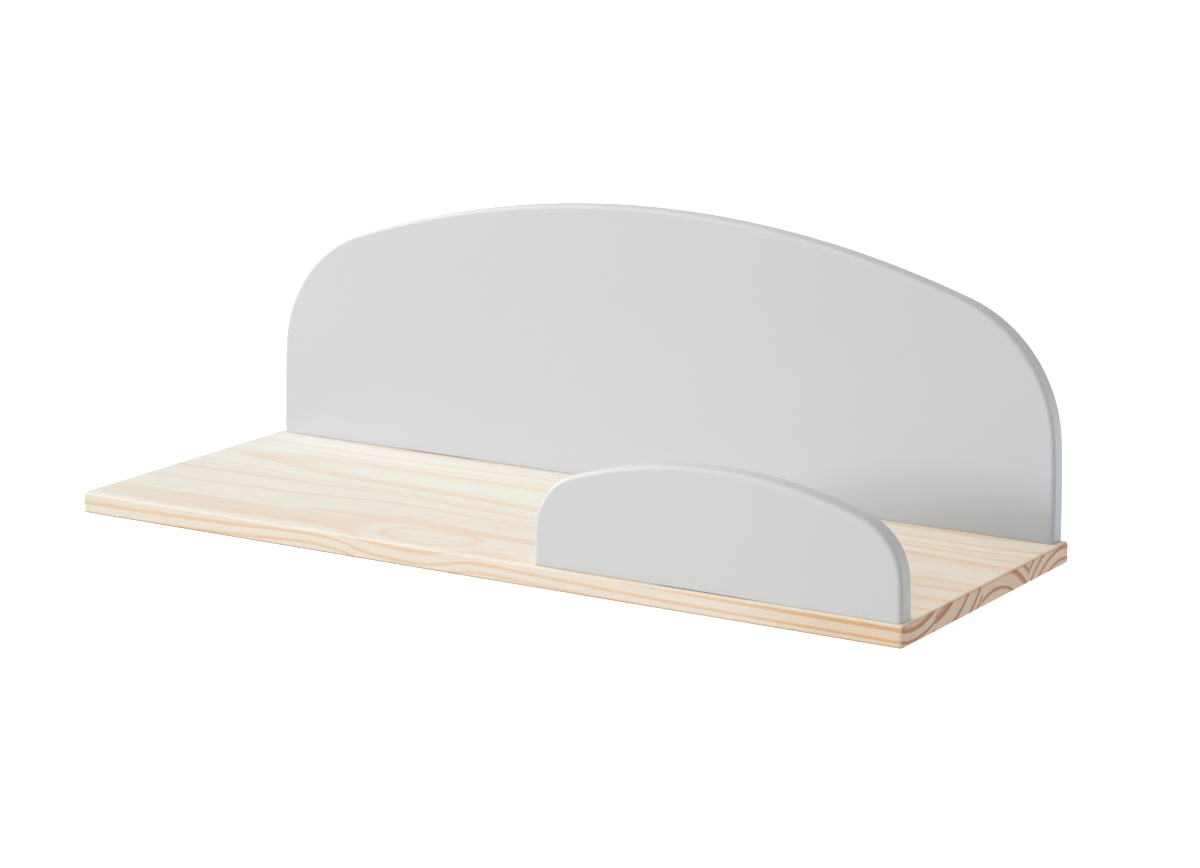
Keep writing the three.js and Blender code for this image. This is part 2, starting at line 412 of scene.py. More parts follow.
def thread_ridge(screw):
    """A helical ridge about the Z axis that runs on past both ends of the thread."""
    ridge = thread_profile(screw)
    winding = ridge.modifiers.new("winding", "SCREW")
    winding.axis = "Z"
    winding.screw_offset = screw["pitch"]
    winding.iterations = math.ceil((screw["length"] - screw["shank"]) / screw["pitch"]) + 1
    winding.steps = THREAD_STEPS
    bpy.ops.object.modifier_apply(modifier=winding.name)
    open_piece(ridge)
    bpy.ops.mesh.select_mode(type="EDGE")
    bpy.ops.mesh.select_non_manifold()
    bpy.ops.mesh.edge_face_add()
    close_piece()
    weld(ridge)
    return ridge


def screw_body(screw):
    """The outline of a screw without its thread, as (radius, height) pairs from head to point."""
    length = screw["length"]
    core_radius = screw["core"] / 2
    shank_radius = screw["thread"] / 2 - SHANK_UNDERSIZE
    head_radius = screw["head"] / 2
    return [
        (0, 0),
        (head_radius, 0),
        (head_radius, screw["rim"]),
        (shank_radius, screw["rim"] + head_radius - shank_radius),
        (shank_radius, screw["shank"]),
        (core_radius, screw["shank"] + SHANK_END_TAPER),
        (core_radius, length - screw["tip"]),
        (TIP_POINT, length - TIP_POINT),
        (0, length),
    ]


def thread_envelope(screw):
    """The outline that the thread stays inside, narrower towards the point."""
    length = screw["length"]
    crest_radius = screw["thread"] / 2 + THREAD_ROOM
    return [
        (0, screw["shank"]),
        (crest_radius, screw["shank"]),
        (crest_radius, length - screw["tip"]),
        (screw["point"] / 2, length),
        (0, length),
    ]


def make_screw(name, screw):
    """A screw that points up, with the outside of its head at height 0."""
    piece = turned(name, screw_body(screw), SCREW_STEPS)
    ridge = thread_ridge(screw)
    combine(ridge, turned("envelope", thread_envelope(screw), SCREW_STEPS), "INTERSECT")
    combine(piece, ridge, "UNION")
    for angle in (0, math.pi / 2):
        combine(piece, driver_bar(screw, angle), "DIFFERENCE")
    return piece


def driver_bar(screw, angle):
    """One arm of the cross recess in a screw head, narrower towards its bottom."""
    select_only(None)
    depth = screw["driver_depth"]
    size = (screw["driver_span"], screw["driver_slot"], 2 * depth)
    bpy.ops.mesh.primitive_cube_add(size=1, scale=size)
    bar = just_added("driver_bar")
    open_piece(bar)
    pick(bar, "VERT", lambda vertex: near(vertex.co.z, depth))
    bpy.ops.transform.resize(value=(DRIVER_TAPER, DRIVER_TAPER, 1), center_override=(0, 0, 0))
    select_everything()
    bpy.ops.transform.rotate(value=angle, orient_axis="Z", center_override=(0, 0, 0))
    close_piece()
    return bar


def dowel_hole(length):
    """What a dowel takes away, with its clearance, standing on height 0."""
    radius = DOWEL_DIAMETER / 2 + FIT_GAP
    profile = [
        (0, -FIT_GAP),
        (radius, -FIT_GAP),
        (radius, length + HOLE_END_GAP),
        (0, length + HOLE_END_GAP),
    ]
    return turned("hole", profile, HOLE_STEPS)


def plain_dowel(name, length, radius):
    """A dowel that stands on height 0, with chamfered ends."""
    select_only(None)
    steps = FLUTE_COUNT * FLUTE_STEPS
    centre = (0, 0, length / 2)
    bpy.ops.mesh.primitive_cylinder_add(vertices=steps, radius=radius, depth=length, location=centre)
    piece = just_added(name)
    open_piece(piece)
    round_edges(piece, is_level, DOWEL_CHAMFER)
    close_piece()
    return piece


def make_dowel(name, length):
    """A chamfered dowel that stands on height 0, with flutes along it."""
    radius = DOWEL_DIAMETER / 2
    piece = plain_dowel(name, length, radius)
    step = FULL_TURN / FLUTE_COUNT
    half_width = step / FLUTE_STEPS / 2

    def in_flute(vertex):
        if near(vertex.co.xy.length, 0):
            return False
        turn = math.atan2(vertex.co.x, vertex.co.y) % step
        return min(turn, step - turn) < half_width

    open_piece(piece)
    pick(piece, "VERT", in_flute)
    shrink = (radius - FLUTE_DEPTH) / radius
    bpy.ops.transform.resize(value=(shrink, shrink, 1), center_override=(0, 0, 0))
    close_piece()
    return piece


# Board

def make_board():
    """A plank with rounded upright corners, and less rounding along its level edges."""
    low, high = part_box("shelf_board")
    select_only(None)
    bpy.ops.mesh.primitive_cube_add(size=1, location=(low + high) / 2, scale=high - low)
    board = just_added("pine_board")
    open_piece(board)
    round_edges(board, lambda edge: not is_level(edge), BOARD_CORNER_RADIUS, BOARD_CORNER_STEPS)
    round_edges(board, is_level, BOARD_EDGE_RADIUS, BOARD_EDGE_STEPS)
    close_piece()
    weld(board)
    return board


# Panels

def arch_centres(width, height, radii):
    """Centres of the side, crown and shoulder arcs, measured from the middle of the foot."""
    side = Vector((width / 2 - radii["side"], 0))
    crown = Vector((0, height - radii["crown"]))
    from_side = radii["side"] - radii["shoulder"]
    from_crown = radii["crown"] - radii["shoulder"]
    apart = crown - side
    distance = apart.length
    along = (from_side ** 2 - from_crown ** 2 + distance ** 2) / (2 * distance)
    across = math.sqrt(from_side ** 2 - along ** 2)
    direction = apart.normalized()
    square = Vector((-direction.y, direction.x))
    return side, crown, side + direction * along + square * across


def make_panel(name, node, radii):
    """A five-centred arch with rounded rims, cut off square at its foot."""
    low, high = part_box(node)
    width = high.x - low.x
    centre_x = (low.x + high.x) / 2
    side, crown, shoulder = arch_centres(width, high.z - low.z, radii)
    below = math.asin(TRIM_MARGIN / radii["side"])
    shoulder_start = math.atan2(shoulder.y - side.y, shoulder.x - side.x)
    shoulder_end = math.atan2(shoulder.y - crown.y, shoulder.x - crown.x)

    def place(point, mirrored=False):
        x = -point.x if mirrored else point.x
        return (centre_x + x, low.y, low.z + point.y)

    foot_end = side + Vector((radii["side"] * math.cos(below), -radii["side"] * math.sin(below)))
    piece = start_point(name, place(foot_end))
    arc(place(side), below + shoulder_start, SIDE_STEPS)
    arc(place(shoulder), shoulder_end - shoulder_start, SHOULDER_STEPS)
    arc(place(crown), math.pi - 2 * shoulder_end, CROWN_STEPS)
    arc(place(shoulder, True), shoulder_end - shoulder_start, SHOULDER_STEPS)
    arc(place(side, True), below + shoulder_start, SIDE_STEPS)
    fill_and_thicken(piece, high.y - low.y)
    round_rims(piece, low)
    return piece


def round_rims(piece, low):
    """Round the front and back rims along the arch, trim the foot, and ease its sharp edges."""
    def on_rim(edge):
        first, second = (vertex.co for vertex in edge.verts)
        if not near(first.y, second.y):
            return False
        return not (first.z < low.z and second.z < low.z and near(first.z, second.z))

    def at_foot(edge):
        return is_level(edge) and near(edge.verts[0].co.z, low.z)

    open_piece(piece)
    round_edges(piece, on_rim, RIM_RADIUS, RIM_STEPS)
    select_everything()
    bpy.ops.mesh.bisect(plane_co=low, plane_no=(0, 0, 1), use_fill=True, clear_inner=True)
    round_edges(piece, at_foot, FOOT_EASE, FOOT_EASE_STEPS)
    close_piece()
    weld(piece)


# Fixings in their places

def name_list(stem, count):
    return [f"{stem}_{number + 1}" for number in range(count)]


BACK_SCREWS = name_list("back_screw", 4)
BACK_DOWELS = name_list("back_dowel", 3)
GUARD_SCREWS = name_list("guard_screw", 3)
GUARD_DOWELS = name_list("guard_dowel", 2)
SIDES = ("left", "right")
PLATE_SCREWS = {side: [f"hanger_screw_{side}_{place}" for place in ("upper", "lower")] for side in SIDES}


def cut_foot_fixings(piece, screws, dowels):
    """Cut the holes for the screws and dowels that join the board and a panel."""
    for node in screws:
        cut_at(piece, screw_hole(PANEL_SCREW), base_of(node))
    for node in dowels:
        low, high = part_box(node)
        cut_at(piece, dowel_hole(high.z - low.z), base_of(node))


def cut_plate_screws(piece, side):
    """Cut the holes for the two screws of a keyhole plate."""
    for node in PLATE_SCREWS[side]:
        hole = screw_hole(PLATE_SCREW)
        tip_forward(hole)
        cut_at(piece, hole, back_of(node))


def seat_height(side):
    """The height of the middle of a wall screw's shank when the shelf hangs on it."""
    return middle(f"hanger_plate_{side}").z + SLOT_TRAVEL / 2


def keyhole_cutter(side, entry_radius, slot_radius, depth):
    """What a keyhole takes away: an entry low down, and a slot up from it to the seat."""
    node = f"hanger_plate_{side}"
    x = middle(node).x
    seat = seat_height(side)
    entry_height = seat - SLOT_TRAVEL
    front = back_of(node).y - depth
    back = back_of(node).y + CUT_MARGIN
    entry = upright_slot("entry", x, entry_radius, (entry_height, entry_height), front, back)
    slot = upright_slot("slot", x, slot_radius, (entry_height, seat), front, back)
    return entry, slot


def plate_block(name, side, room, front, back):
    """A block with the outline of a keyhole plate, larger by some room, between two depths."""
    node = f"hanger_plate_{side}"
    low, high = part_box(node)
    radius = (high.x - low.x) / 2
    heights = (low.z + radius, high.z - radius)
    return upright_slot(name, middle(node).x, radius + room, heights, front, back)


def make_plate(side):
    """A keyhole plate with its outer edge eased, its keyhole and its two screw holes."""
    low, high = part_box(f"hanger_plate_{side}")
    plate = plate_block(f"keyhole_plate_{side}", side, 0, low.y, high.y)

    def on_outside(edge):
        return all(near(vertex.co.y, high.y) for vertex in edge.verts)

    open_piece(plate)
    round_edges(plate, on_outside, PLATE_EDGE, PLATE_EDGE_STEPS)
    close_piece()
    for tool in keyhole_cutter(side, ENTRY_DIAMETER / 2, SLOT_WIDTH / 2, high.y - low.y + CUT_MARGIN):
        combine(plate, tool, "DIFFERENCE")
    cut_plate_screws(plate, side)
    return plate


def cut_hanger(panel, side):
    """The seat of the plate, the pocket for the head of the wall screw, and the pilot holes."""
    low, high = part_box(f"hanger_plate_{side}")
    combine(panel, plate_block("seat", side, FIT_GAP, low.y, high.y + CUT_MARGIN), "DIFFERENCE")
    pocket_radius = ENTRY_DIAMETER / 2 + HEAD_POCKET_MARGIN
    pocket_depth = high.y - low.y + HEAD_POCKET_DEPTH
    entry, pocket = keyhole_cutter(side, pocket_radius, pocket_radius, pocket_depth)
    bpy.data.objects.remove(entry)
    combine(panel, pocket, "DIFFERENCE")
    cut_plate_screws(panel, side)


# Staves

# The board is glued up from four staves, and each was sawn from its own log.
# Millimetres from the top of the board at the middle of its back edge: places along it are to the right,
# depths are negative towards the front, and heights are negative below the top.
# back: the depth of the joint behind the stave. tone: how warm it is, from -0.5 to 0.5.
# heart_depth and heart_height: where the heart of the log lies, by place along the board.
# rings: how far each growth ring is from the heart, with the thickness of its dark late wood.
# pivot: how far from the heart the rings begin to spread.
# beyond_pivot: how close together they stand there, by place along the board, where 1 is as listed.
STAVES = [
    dict(
        back=-204.4,
        tone=0.0,
        heart_depth=[
            (-325, -226.5), (-200, -226), (-121, -223), (-41, -223.5), (-1, -219),
            (50, -221), (100, -224), (175, -228.5), (325, -232.5),
        ],
        heart_height=[
            (-325, 67.9), (-200, 67.9), (-131, 68.1), (-111, 67.3), (-81, 61.9), (-61, 60.2),
            (-41, 59.6), (-16, 61.2), (-1, 63.4), (14, 64.6), (50, 64.2), (175, 63.5), (325, 63.1),
        ],
        rings=[(62.5, 1.5), (69.5, 4.2), (76.5, 2.4), (82.2, 2.4), (88.6, 2.8), (94.5, 2.2), (100, 2)],
        pivot=69.5,
        beyond_pivot=[(-325, 0.69), (-250, 0.74), (-200, 0.83), (-125, 0.95), (325, 1)],
    ),
    dict(
        back=-135.6,
        tone=0.35,
        heart_depth=[
            (-325, -220.5), (-200, -213.6), (-150, -207.4), (-112, -205),
            (-75, -210.7), (0, -211.8), (325, -213),
        ],
        heart_height=[
            (-325, 76), (-200, 75), (-125, 73), (-100, 72.3), (-75, 69.9), (-50, 70.8),
            (0, 72.3), (325, 65),
        ],
        rings=[(63, 3), (74.6, 6.5), (87.8, 3.4), (100, 3.2), (106.3, 2.4), (113, 3)],
        pivot=87.8,
        beyond_pivot=[(-325, 0.57), (-200, 0.64), (-150, 0.865), (-100, 1), (325, 1)],
    ),
    dict(
        back=-63.6,
        tone=-0.4,
        heart_depth=[(-325, -86), (-250, -88.2), (-200, -91.2), (-125, -92), (-50, -94), (325, -115.6)],
        heart_height=[
            (-325, -69.4), (-275, -68), (-200, -64.8), (-125, -64.3), (-50, -63.1),
            (0, -62.3), (325, -62.5),
        ],
        rings=[(56.3, 2.6), (69, 4.8), (76.5, 3), (81.5, 2.2)],
    ),
    dict(
        back=0,
        tone=-0.5,
        heart_depth=[(-325, -13), (-200, -15.5), (-60, -9.5), (0, -9.5), (325, -13.2)],
        heart_height=[(-325, -60.7), (-200, -60.3), (0, -59.5), (250, -59), (325, -61.6)],
        rings=[(52.4, 2.4), (60.4, 2.6), (68.3, 2.8), (76, 2.8), (81, 2)],
    ),
]

# The dark late wood of a ring thickens slowly, is full over this last share of its thickness, and ends
# sharply: where the end starts before the ring and stops after it, in millimetres.
LATE_WOOD_FULL = 0.3
LATE_WOOD_END = (0.2, 0.5)
# Room past the first and last rings, and past the lowest and highest point of a curve, in millimetres.
RING_ROOM = 1.5
CURVE_ROOM = 0.5
# How far the rings stray in waves and in fine frays, in millimetres, and the patches of each per metre,
# along, across and up.
RING_WOBBLE = 1.1
RING_WOBBLE_PATCHES = (5, 18, 18)
RING_FRAY = 0.35
RING_FRAY_PATCHES = (14, 160, 160)
RING_FRAY_ROUGHNESS = 0.6

# Noise gathers around a half, and this part of it is spread over 0 to 1.
HALF = 0.5
NOISE_SPREAD = (0.3, 0.7)

# Where each part of the board's surface begins and is full, by how squarely it faces along an axis,
# from 0 to 1. An arris has four: start, full, fall and end.
FLAT_FACE = (0.5, 0.95)
END_FACE = (0.5, 0.95)
END_SLOPE = (0.1, 0.3)
# Upper arrises: sanded, and with a painted highlight.
WORN_AND_SHEEN_ARRIS = (0.2, 0.5, 0.8, 0.93)
# Lower arrises: painted shade.
SHADED_LOWER_ARRIS = (0.1, 0.5, 0.85, 0.98)
END_ARRIS = (0.45, 0.8, 0.93, 0.995)

# Fibres: streaks, broad and fine, and the short dark dashes that are pores
BROAD_STREAKS = dict(scale=(1, 1, 1), detail=3, roughness=0.6)
FINE_STREAKS = dict(scale=(3, 3.4, 3.4), detail=3, roughness=0.6)
PORE_DASHES = dict(scale=(9, 2.2, 2.2), detail=1, roughness=0.4)
PORE_SPREAD = (0.66, 0.76)

# Pine: patches per metre along, across and up, then how strong each effect is, from 0 to 1
LATE_PATCHES = (6, 40, 40)
LATE_WOOD_FAINT = 0.6
PINE_FIBRES = (5, 260, 260)
PINE_CLOUDS = dict(scale=(2.2, 55, 55), detail=3, roughness=0.55)
PINE_CLOUD_SPREAD = (0.38, 0.72)
PINE_EDGE_DRIFT = (0.8, 0.93)
PINE_CLOUD_AMOUNT = 0.4
PINE_STREAK_AMOUNT = 0.5
PINE_PORE_AMOUNT = 0.35
PINE_STAVE_AMOUNT = 0.25
PINE_WORN_AND_SHEEN_AMOUNT = 0.4
PINE_END_ARRIS_AMOUNT = 0.6
WORN_AND_SHEEN_CLEARS_LATE_WOOD = 0.4
END_GRAIN_BROADENS = 0.5
LATE_WOOD_SINKS = 0.3
PINE_GRAIN_DEPTH = 0.02 * MM

# Paint, zinc and beech: patches per metre, and the depth of the surface's texture
MOTTLE_DETAIL = dict(Broad=3, Fine=2)
PAINT_PATCHES = dict(Broad_Scale=6.0, Fine_Scale=420.0)
PAINT_TEXTURE_DEPTH = 0.006 * MM
ZINC_PATCHES = dict(Broad_Scale=120.0, Fine_Scale=1500.0)
ZINC_TEXTURE_DEPTH = 0.004 * MM
BEECH_FIBRES = (700.0, 700.0, 60.0)
BEECH_STREAK_AMOUNT = 0.6
BEECH_GRAIN_DEPTH = 0.03 * MM

# The least roughness of each finish, and what its streaks or clouds add
PINE_ROUGHNESS = (0.68, 0.12)
PAINT_ROUGHNESS = (0.5, 0.06)
ZINC_ROUGHNESS = (0.3, 0.12)
BEECH_ROUGHNESS = (0.62, 0.1)

# A colour mix finds its sockets by number, because several of them share a name.
MIX_FACTOR = 0
MIX_FIRST = 6
MIX_SECOND = 7
MIX_RESULT = 2


# Shading nodes

def srgb(red, green, blue):
    """A colour in screen levels, 0 to 255, as linear light, by the standard curve of screens."""
    def linear(value):
        value = value / 255
        return value / 12.92 if value <= 0.04045 else ((value + 0.055) / 1.055) ** 2.4

    return linear(red), linear(green), linear(blue), 1


def tint(colour, by):
    return tuple(first * second for first, second in zip(colour, by))


def new_material(name):
    material = bpy.data.materials.new(name)
    material.use_nodes = True
    return material, material.node_tree, material.node_tree.nodes["Principled BSDF"]


def put(tree, value, socket):
    """Link a value that changes over the surface, or write a plain one."""
    if isinstance(value, bpy.types.NodeSocket):
        tree.links.new(value, socket)
    else:
        socket.default_value = value


def calc(tree, operation, *values):
    """A sum, product or other result of values that may change over the surface."""
    node = tree.nodes.new("ShaderNodeMath")
    node.operation = operation
    for socket, value in zip(node.inputs, values):
        put(tree, value, socket)
    return node.outputs["Value"]


def times(tree, first, second):
    return calc(tree, "MULTIPLY", first, second)


def vary(tree, mask, start, change):
    """The start value where the mask is 0, with the change added where it is 1."""
    return calc(tree, "MULTIPLY_ADD", mask, change, start)


def ramp(tree, value, start, end, low=0, high=1):
    """A smooth rise from low to high as the value goes from start to end."""
    node = tree.nodes.new("ShaderNodeMapRange")
    node.interpolation_type = "SMOOTHSTEP"
    put(tree, value, node.inputs["Value"])
    for name, number in (("From Min", start), ("From Max", end), ("To Min", low), ("To Max", high)):
        put(tree, number, node.inputs[name])
    return node.outputs["Result"]


def band(tree, value, start, full, fall, end):
    """A smooth rise from 0 to 1 and back to 0 as the value goes up."""
    return times(tree, ramp(tree, value, start, full), ramp(tree, value, fall, end, 1, 0))


def blend(tree, factor, first, second, mode="MIX"):
    """Mix two colours."""
    node = tree.nodes.new("ShaderNodeMix")
    node.data_type = "RGBA"
    node.blend_type = mode
    put(tree, factor, node.inputs[MIX_FACTOR])
    put(tree, first, node.inputs[MIX_FIRST])
    put(tree, second, node.inputs[MIX_SECOND])
    return node.outputs[MIX_RESULT]


def noise(tree, place, scale, detail=2, roughness=HALF):
    """Cloudy noise around 0.5, with its own scale along each axis, in patches per metre."""
    stretch = tree.nodes.new("ShaderNodeMapping")
    tree.links.new(place, stretch.inputs["Vector"])
    stretch.inputs["Scale"].default_value = scale
    cloud = tree.nodes.new("ShaderNodeTexNoise")
    tree.links.new(stretch.outputs["Vector"], cloud.inputs["Vector"])
    cloud.inputs["Scale"].default_value = 1
    cloud.inputs["Detail"].default_value = detail
    cloud.inputs["Roughness"].default_value = roughness
    return cloud.outputs["Fac"]


def split(tree, vector):
    """The three parts of a place or direction."""
    node = tree.nodes.new("ShaderNodeSeparateXYZ")
    tree.links.new(vector, node.inputs["Vector"])
    return node.outputs["X"], node.outputs["Y"], node.outputs["Z"]


def dress(tree, shader, colour, roughness, height, depth):
    """Colour a surface, roughen it, and raise it by the given depth where the height is 1."""
    put(tree, colour, shader.inputs["Base Color"])
    put(tree, roughness, shader.inputs["Roughness"])
    bump = tree.nodes.new("ShaderNodeBump")
    bump.inputs["Strength"].default_value = 1
    bump.inputs["Distance"].default_value = depth
    tree.links.new(height, bump.inputs["Height"])
    tree.links.new(bump.outputs["Normal"], shader.inputs["Normal"])


def new_group(name, inputs, outputs):
    """A node group with a kind for each input, and outputs that are all numbers."""
    group = bpy.data.node_groups.new(name, "ShaderNodeTree")
    for title, kind in inputs.items():
        group.interface.new_socket(title, in_out="INPUT", socket_type=f"NodeSocket{kind}")
    for title in outputs:
        group.interface.new_socket(title, in_out="OUTPUT", socket_type="NodeSocketFloat")
    return group, group.nodes.new("NodeGroupInput").outputs, group.nodes.new("NodeGroupOutput").inputs


def use_group(tree, group, **values):
    """Place a group in a material. Input names are given with _ for each space."""
    node = tree.nodes.new("ShaderNodeGroup")
    node.node_tree = group
    for name, value in values.items():
        put(tree, value, node.inputs[name.replace("_", " ")])
    return node.outputs


def make_fibre_group():
    """Fine wood fibres that run along one axis: streaks, and short dark pores."""
    kinds = {"Place": "Vector", "Stretch": "Vector"}
    group, given, made = new_group("wood_fibres", kinds, ("Streaks", "Pores"))
    node = group.nodes.new("ShaderNodeVectorMath")
    node.operation = "MULTIPLY"
    group.links.new(given["Place"], node.inputs[0])
    group.links.new(given["Stretch"], node.inputs[1])
    place = node.outputs["Vector"]
    broad = noise(group, place, **BROAD_STREAKS)
    fine = noise(group, place, **FINE_STREAKS)
    both = calc(group, "MULTIPLY_ADD", fine, HALF, times(group, broad, HALF))
    put(group, ramp(group, both, *NOISE_SPREAD), made["Streaks"])
    dashes = noise(group, place, **PORE_DASHES)
    put(group, ramp(group, dashes, *PORE_SPREAD), made["Pores"])
    return group


def make_mottle_group():
    """Cloudy unevenness of a finish, broad and fine, each from 0 to 1."""
    kinds = {"Place": "Vector", "Broad Scale": "Float", "Fine Scale": "Float"}
    group, given, made = new_group("mottle", kinds, ("Broad", "Fine"))
    for size, detail in MOTTLE_DETAIL.items():
        cloud = group.nodes.new("ShaderNodeTexNoise")
        cloud.inputs["Detail"].default_value = detail
        group.links.new(given["Place"], cloud.inputs["Vector"])
        group.links.new(given[f"{size} Scale"], cloud.inputs["Scale"])
        put(group, ramp(group, cloud.outputs["Fac"], *NOISE_SPREAD), made[size])
    return group


# Colours

# Each pair is the colour at the left end and at the right end of the board, partly the wood's own tone
# and
# partly painted light: lighter towards the right, where less lamp light falls. The front and back edges
# have a third, which takes over near the right end.
PINE_TOP = (srgb(236, 236, 230), srgb(255, 246, 230))
PINE_TOP_LATE = (srgb(232, 224, 211), srgb(254, 225, 195))
PINE_EDGE = (srgb(241, 235, 222), srgb(250, 237, 223), srgb(240, 222, 197))
PINE_EDGE_LATE = (srgb(238, 210, 177), srgb(247, 212, 172), srgb(231, 185, 140))
PINE_END = (srgb(234, 214, 195), srgb(255, 233, 212))
PINE_END_LATE = (srgb(194, 137, 108), srgb(211, 147, 115))
PINE_BLUSH = srgb(250, 240, 230)
PINE_STREAK = srgb(251, 245, 238)
PINE_PORE = srgb(225, 205, 185)
# The upper arrises are pale partly from sanding and partly from a painted highlight.
PINE_WORN_AND_SHEEN = srgb(246, 238, 226)
# Painted shade on the lower arrises.
PINE_SHADED_LOWER_ARRIS = srgb(222, 196, 172)
PINE_END_ARRIS = srgb(255, 210, 168)
PAINT = srgb(218, 218, 218)
# Painted light: the back panel's front is cooler, to cancel the warm light the board throws on it.
PAINT_BACK_AGAINST_BOUNCE = srgb(216, 218, 221)
PAINT_LOW_AGAINST_BOUNCE = (srgb(211, 212, 216), srgb(205, 212, 219))
PAINT_CLOUD = srgb(252, 252, 252)
# Painted shade in the joints at the panels' feet, darker where a joint stands open.
PAINT_JOINT_SHADE = srgb(228, 228, 228)
PAINT_JOINT_SHADE_GAP = srgb(90, 90, 90)
ZINC = srgb(166, 170, 176)
ZINC_DULL = srgb(138, 143, 150)
BEECH = srgb(219, 192, 150)
BEECH_FLECK = srgb(214, 180, 150)
FLOOR_COLOUR = srgb(236, 236, 235)
BLACK = (0, 0, 0, 1)
WHITE = (1, 1, 1, 1)


# Pine

def along_board(tree, share, points):
    """A number that changes along the board, smoothly through the given (place, number) points."""
    numbers = [number for _, number in points]
    low = min(numbers) - CURVE_ROOM
    high = max(numbers) + CURVE_ROOM
    half_length = points[-1][0]
    curve = tree.nodes.new("ShaderNodeFloatCurve")
    line = curve.mapping.curves[0]
    for _ in points[2:]:
        line.points.new(HALF, HALF)
    for knot, (place, number) in zip(line.points, points):
        knot.location = (HALF + HALF * place / half_length, (number - low) / (high - low))
        knot.handle_type = "AUTO_CLAMPED"
    curve.mapping.update()
    tree.links.new(share, curve.inputs["Value"])
    return calc(tree, "MULTIPLY_ADD", curve.outputs["Value"], high - low, low)


def late_wood(tree, radius, rings):
    """1 on the dark late wood of each growth ring and 0 on the pale early wood."""
    low = rings[0][0] - rings[0][1] - RING_ROOM
    high = rings[-1][0] + RING_ROOM
    share = calc(tree, "DIVIDE", calc(tree, "SUBTRACT", radius, low), high - low)
    bands = tree.nodes.new("ShaderNodeValToRGB")
    bands.color_ramp.interpolation = "EASE"
    stops = bands.color_ramp.elements
    for stop in stops:
        stop.color = BLACK
    before, after = LATE_WOOD_END
    for ring, width in rings:
        start = (ring - width, BLACK)
        full = (ring - LATE_WOOD_FULL * width, WHITE)
        for place, shade in (start, full, (ring - before, WHITE), (ring + after, BLACK)):
            stop = stops.new((place - low) / (high - low))
            stop.color = shade
    tree.links.new(share, bands.inputs["Fac"])
    return bands.outputs["Color"]


def stave_figure(tree, stave, share, depth, height, wobble):
    """The late wood of one stave, from the distance to the heart of its log."""
    heart_depth = along_board(tree, share, stave["heart_depth"])
    heart_height = along_board(tree, share, stave["heart_height"])
    across = calc(tree, "SUBTRACT", depth, heart_depth)
    up = calc(tree, "SUBTRACT", height, heart_height)
    squares = calc(tree, "MULTIPLY_ADD", up, up, times(tree, across, across))
    radius = calc(tree, "ADD", calc(tree, "SQRT", squares), wobble)
    if "pivot" in stave:
        past = calc(tree, "MAXIMUM", calc(tree, "SUBTRACT", radius, stave["pivot"]), 0)
        close = along_board(tree, share, stave["beyond_pivot"])
        radius = calc(tree, "MULTIPLY_ADD", past, close, calc(tree, "MINIMUM", radius, stave["pivot"]))
    return late_wood(tree, radius, stave["rings"])


def board_place(tree, place):
    """The share of the board's length from its left end, and millimetres from its upper back edge."""
    low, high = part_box("shelf_board")
    x, y, z = split(tree, place)
    share = calc(tree, "DIVIDE", calc(tree, "SUBTRACT", x, low.x), high.x - low.x)
    depth = calc(tree, "DIVIDE", calc(tree, "SUBTRACT", y, high.y), MM)
    height = calc(tree, "DIVIDE", calc(tree, "SUBTRACT", z, high.z), MM)
    return share, depth, height


def ring_wobble(tree, place):
    """The unevenness of the growth rings, in millimetres."""
    slow = calc(tree, "SUBTRACT", noise(tree, place, RING_WOBBLE_PATCHES), HALF)
    fray = noise(tree, place, RING_FRAY_PATCHES, roughness=RING_FRAY_ROUGHNESS)
    quick = calc(tree, "SUBTRACT", fray, HALF)
    return calc(tree, "MULTIPLY_ADD", quick, RING_FRAY, times(tree, slow, RING_WOBBLE))


def glued_staves(tree, place, share, depth, height):
    """The late wood of the whole board, and a tone for each stave."""
    wobble = ring_wobble(tree, place)
    late = stave_figure(tree, STAVES[0], share, depth, height, wobble)
    tone = STAVES[0]["tone"]
    for front, stave in zip(STAVES, STAVES[1:]):
        past_joint = calc(tree, "GREATER_THAN", depth, front["back"])
        late = blend(tree, past_joint, late, stave_figure(tree, stave, share, depth, height, wobble))
        step = times(tree, past_joint, stave["tone"] - front["tone"])
        tone = calc(tree, "ADD", step, tone)
    return late, tone


def facing_masks(tree, facing):
    """Where the surface is the flat face, the end grain, or a rounded arris, some of which take painted
    light or shade.
    """
    x, _, z = split(tree, facing)
    sideways = calc(tree, "ABSOLUTE", x)
    upright = calc(tree, "ABSOLUTE", z)
    down = times(tree, z, -1)
    end = ramp(tree, sideways, *END_FACE)
    lengthwise = calc(tree, "SUBTRACT", 1, end)
    sloping = ramp(tree, upright, *END_SLOPE)
    return dict(
        flat=ramp(tree, upright, *FLAT_FACE),
        end=end,
        worn_and_sheen=times(tree, band(tree, z, *WORN_AND_SHEEN_ARRIS), lengthwise),
        # painted shade on the lower arrises
        lower=times(tree, band(tree, down, *SHADED_LOWER_ARRIS), lengthwise),
        end_arris=times(tree, band(tree, sideways, *END_ARRIS), sloping),
    )


def visible_late_wood(tree, place, late, masks):
    """Late wood as it shows: faint in patches, broad on the end grain, and paler on worn, highlighted
    arrises.
    """
    patchy = ramp(tree, noise(tree, place, LATE_PATCHES), *NOISE_SPREAD, LATE_WOOD_FAINT, 1)
    late = times(tree, late, calc(tree, "MAXIMUM", patchy, masks["end"]))
    late = calc(tree, "POWER", late, vary(tree, masks["end"], 1, -END_GRAIN_BROADENS))
    return times(tree, late, vary(tree, masks["worn_and_sheen"], 1, -WORN_AND_SHEEN_CLEARS_LATE_WOOD))


